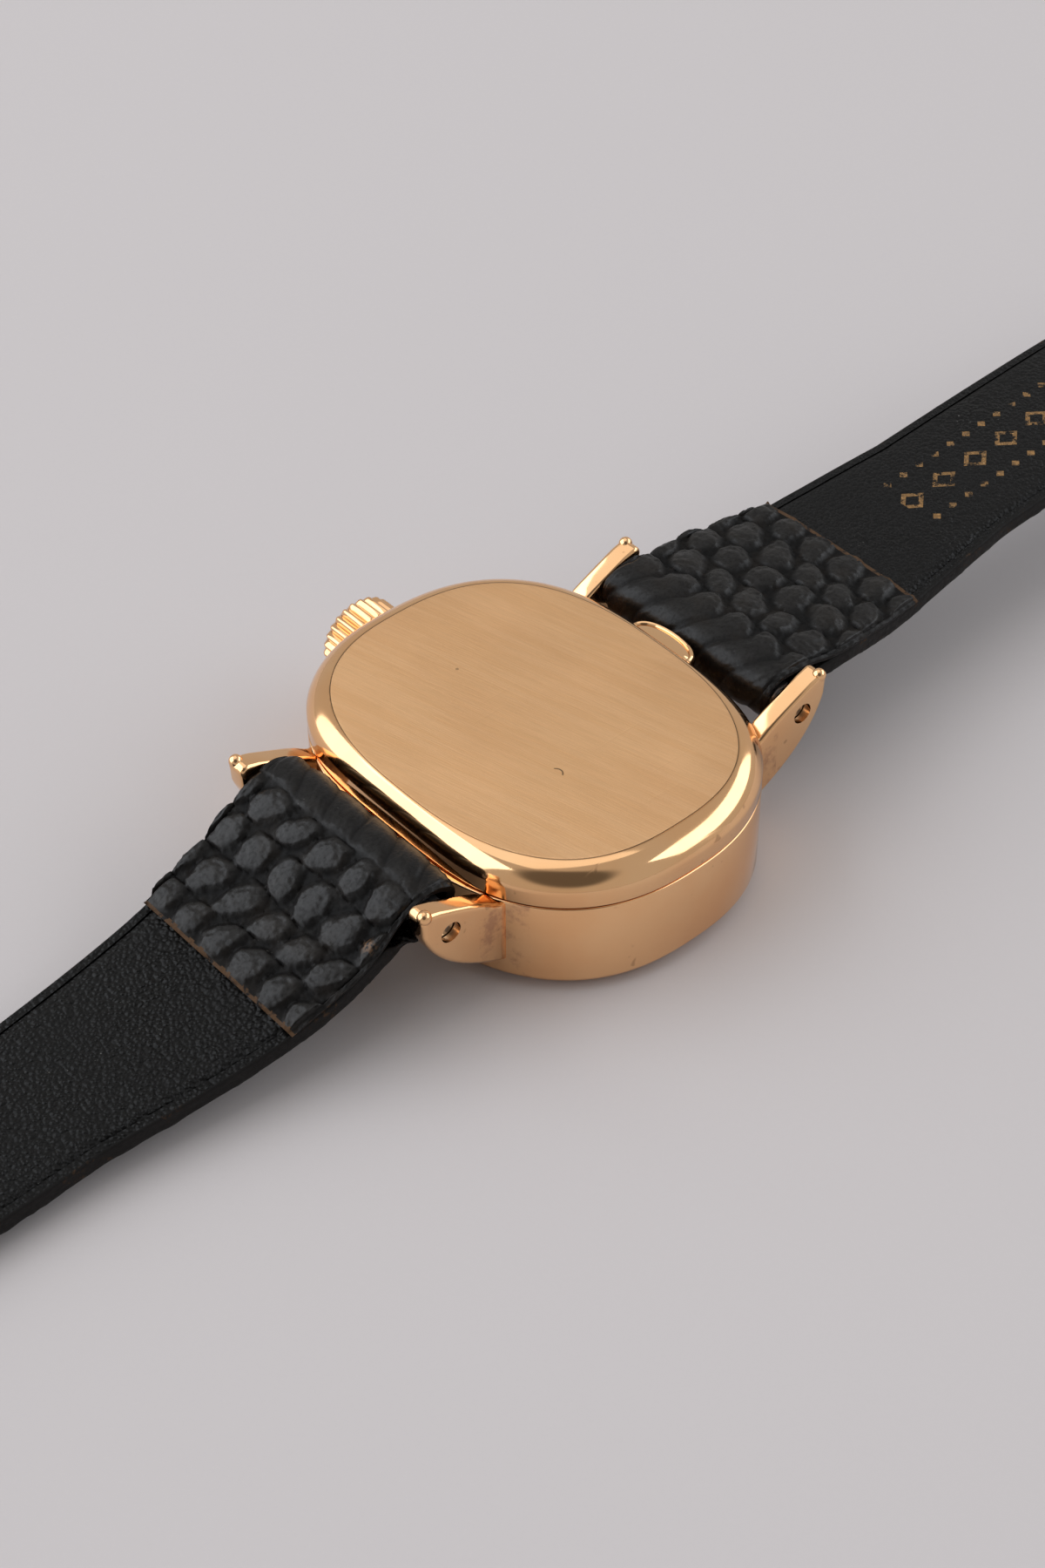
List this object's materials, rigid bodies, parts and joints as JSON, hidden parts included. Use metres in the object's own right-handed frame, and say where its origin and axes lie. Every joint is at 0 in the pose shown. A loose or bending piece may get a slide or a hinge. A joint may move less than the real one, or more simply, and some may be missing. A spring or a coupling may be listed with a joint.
{
  "type": "cocktail watch",
  "caption": "Small hand-wound dress watch with an oval case, press-fit back, ribbed crown and a leather strap with a pin buckle, lying face down.",
  "frame": {"origin": "centre of the crystal's flat outer face, which lies on the table", "axes": "+Z from the crystal towards the press-fit back, +X towards 12 o'clock and the buckle, +Y towards the crown at 3 o'clock"},
  "size_m": [0.2022, 0.0272, 0.0083],
  "materials": {
    "case_gold": "gold plate, polished, with a brushed back",
    "crystal": "polished",
    "dial_enamel": "satin",
    "hand_gold": "polished",
    "train_brass": "fine brushed",
    "nickel": "nickel plate, fine striped",
    "steel": "polished",
    "blued_steel": "heat blued",
    "ruby": "polished",
    "lizard_leather": "scaled grain, semi-gloss",
    "smooth_lining": "smooth, satin",
    "raw_leather": "raw, matt"
  },
  "bodies": {
    "case": {"case_middle": "case_gold", "bezel": "case_gold", "crystal": "crystal", "dial": "dial_enamel", "hour_batons": "hand_gold", "casing_ring": "train_brass", "main_plate": "nickel", "barrel_bridge": "nickel", "train_bridge": "nickel", "pallet_bridge": "nickel", "balance_cock": "nickel", "jewels": "ruby", "bridge_screws": "blued_steel", "crown_tube": "case_gold", "upper_spring_bar_tube": "steel", "lower_spring_bar_tube": "steel"},
    "back": {"case_back": "case_gold"},
    "winding_pinion": {"winding_pinion": "steel"},
    "stem": {"winding_stem": "steel", "crown": "case_gold"},
    "crown_wheel": {"crown_wheel": "steel"},
    "ratchet": {"ratchet_wheel": "steel", "barrel_arbor": "steel"},
    "click": {"click": "steel"},
    "barrel": {"mainspring_barrel": "train_brass", "mainspring": "steel"},
    "centre_wheel": {"centre_wheel": "train_brass"},
    "third_wheel": {"third_wheel": "train_brass"},
    "fourth_wheel": {"fourth_wheel": "train_brass"},
    "escape_wheel": {"escape_wheel": "steel"},
    "pallet_fork": {"pallet_fork": "steel"},
    "balance": {"balance_wheel": "train_brass", "hairspring": "blued_steel"},
    "minute_hand": {"cannon_pinion": "steel", "minute_hand": "hand_gold"},
    "minute_wheel": {"minute_wheel": "train_brass"},
    "hour_hand": {"hour_wheel": "train_brass", "hour_hand": "hand_gold"},
    "upper_tip_crown_side": {"upper_bar_tip_crown_side": "steel"},
    "upper_tip_far_side": {"upper_bar_tip_far_side": "steel"},
    "lower_tip_crown_side": {"lower_bar_tip_crown_side": "steel"},
    "lower_tip_far_side": {"lower_bar_tip_far_side": "steel"},
    "upper_strap": {"upper_strap_leather": "lizard_leather", "upper_strap_core": "raw_leather", "upper_strap_lining": "smooth_lining", "fixed_keeper": "lizard_leather"},
    "sliding_keeper": {"sliding_keeper": "lizard_leather"},
    "buckle": {"buckle_frame": "case_gold", "buckle_bar": "steel"},
    "buckle_tongue": {"buckle_tongue": "case_gold"},
    "lower_strap": {"lower_strap_leather": "lizard_leather", "lower_strap_core": "raw_leather", "lower_strap_lining": "smooth_lining"}
  },
  "joints": [
    {"name": "back_lift", "type": "slide", "parent": "case", "child": "back", "axis": [0, 0, 1], "range_m": [0, 0.012]},
    {"name": "crown_turn", "type": "hinge", "parent": "case", "child": "winding_pinion", "pos_m": [0, 0.0051, 0.0042], "axis": [0, 1, 0], "continuous": true},
    {"name": "crown_pull", "type": "slide", "parent": "winding_pinion", "child": "stem", "axis": [0, 1, 0], "range_m": [0, 0.0008]},
    {"name": "crown_wheel_turn", "type": "hinge", "parent": "case", "child": "crown_wheel", "pos_m": [0, 0.0041, 0.0056], "axis": [0, 0, 1], "continuous": true},
    {"name": "ratchet_turn", "type": "hinge", "parent": "case", "child": "ratchet", "pos_m": [0.00302, 0.00214, 0.0056], "axis": [0, 0, 1], "continuous": true},
    {"name": "click_rock", "type": "hinge", "parent": "case", "child": "click", "pos_m": [0.00474, -0.00032, 0.0056], "axis": [0, 0, -1], "range_deg": [0, 12], "stiffness_Nm_per_rad": 0.000002},
    {"name": "centre_turn", "type": "hinge", "parent": "case", "child": "centre_wheel", "pos_m": [0, 0, 0.0048], "axis": [0, 0, 1], "continuous": true},
    {"name": "barrel_turn", "type": "hinge", "parent": "case", "child": "barrel", "pos_m": [0.00302, 0.00214, 0.004], "axis": [0, 0, 1], "continuous": true},
    {"name": "third_turn", "type": "hinge", "parent": "case", "child": "third_wheel", "pos_m": [0.00208, -0.00248, 0.0045], "axis": [0, 0, 1], "continuous": true},
    {"name": "fourth_turn", "type": "hinge", "parent": "case", "child": "fourth_wheel", "pos_m": [-0.00026, -0.00348, 0.0045], "axis": [0, 0, 1], "continuous": true},
    {"name": "escape_turn", "type": "hinge", "parent": "case", "child": "escape_wheel", "pos_m": [-0.0025, -0.00288, 0.0045], "axis": [0, 0, 1], "continuous": true},
    {"name": "pallet_rock", "type": "hinge", "parent": "case", "child": "pallet_fork", "pos_m": [-0.00367, -0.00221, 0.0045], "axis": [0, 0, 1], "range_deg": [-5, 5]},
    {"name": "balance_swing", "type": "hinge", "parent": "case", "child": "balance", "pos_m": [-0.00518, -0.00133, 0.0051], "axis": [0, 0, 1], "range_deg": [-270, 270], "stiffness_Nm_per_rad": 0.0000001},
    {"name": "minute_turn", "type": "hinge", "parent": "case", "child": "minute_hand", "pos_m": [0, 0, 0.002], "axis": [0, 0, 1], "continuous": true},
    {"name": "minute_wheel_turn", "type": "hinge", "parent": "case", "child": "minute_wheel", "pos_m": [-0.00062, -0.00169, 0.0028], "axis": [0, 0, 1], "continuous": true},
    {"name": "hour_turn", "type": "hinge", "parent": "case", "child": "hour_hand", "pos_m": [0, 0, 0.002], "axis": [0, 0, 1], "continuous": true},
    {"name": "upper_tip_crown_press", "type": "slide", "parent": "case", "child": "upper_tip_crown_side", "axis": [0, -1, 0], "range_m": [0, 0.0009], "stiffness_N_per_m": 100},
    {"name": "upper_tip_far_press", "type": "slide", "parent": "case", "child": "upper_tip_far_side", "axis": [0, 1, 0], "range_m": [0, 0.0009], "stiffness_N_per_m": 100},
    {"name": "lower_tip_crown_press", "type": "slide", "parent": "case", "child": "lower_tip_crown_side", "axis": [0, -1, 0], "range_m": [0, 0.0009], "stiffness_N_per_m": 100},
    {"name": "lower_tip_far_press", "type": "slide", "parent": "case", "child": "lower_tip_far_side", "axis": [0, 1, 0], "range_m": [0, 0.0009], "stiffness_N_per_m": 100},
    {"name": "upper_strap_fold", "type": "hinge", "parent": "case", "child": "upper_strap", "pos_m": [0.01207, 0, 0.00605], "axis": [0, -1, 0], "range_deg": [-20, 90]},
    {"name": "keeper_slide", "type": "slide", "parent": "upper_strap", "child": "sliding_keeper", "axis": [-0.972, 0, 0.2349], "range_m": [-0.0024, 0.004]},
    {"name": "buckle_fold", "type": "hinge", "parent": "upper_strap", "child": "buckle", "pos_m": [0.078, 0, 0.0012], "axis": [0, -1, 0], "range_deg": [-45, 90]},
    {"name": "tongue_swing", "type": "hinge", "parent": "buckle", "child": "buckle_tongue", "pos_m": [0.078, 0, 0.0012], "axis": [0, 1, 0], "range_deg": [0, 100]},
    {"name": "lower_strap_fold", "type": "hinge", "parent": "case", "child": "lower_strap", "pos_m": [-0.01207, 0, 0.00605], "axis": [0, 1, 0], "range_deg": [-20, 90]}
  ],
  "couplings": [
    {"joint": "barrel_turn", "follows": "centre_turn", "ratio": -0.15625},
    {"joint": "third_turn", "follows": "centre_turn", "ratio": -8},
    {"joint": "fourth_turn", "follows": "centre_turn", "ratio": 60},
    {"joint": "escape_turn", "follows": "centre_turn", "ratio": -600},
    {"joint": "minute_turn", "follows": "centre_turn", "ratio": 1},
    {"joint": "minute_wheel_turn", "follows": "centre_turn", "ratio": -0.33333},
    {"joint": "hour_turn", "follows": "centre_turn", "ratio": 0.083333},
    {"joint": "crown_wheel_turn", "follows": "crown_turn", "ratio": 0.5},
    {"joint": "ratchet_turn", "follows": "crown_turn", "ratio": -0.33333}
  ]
}
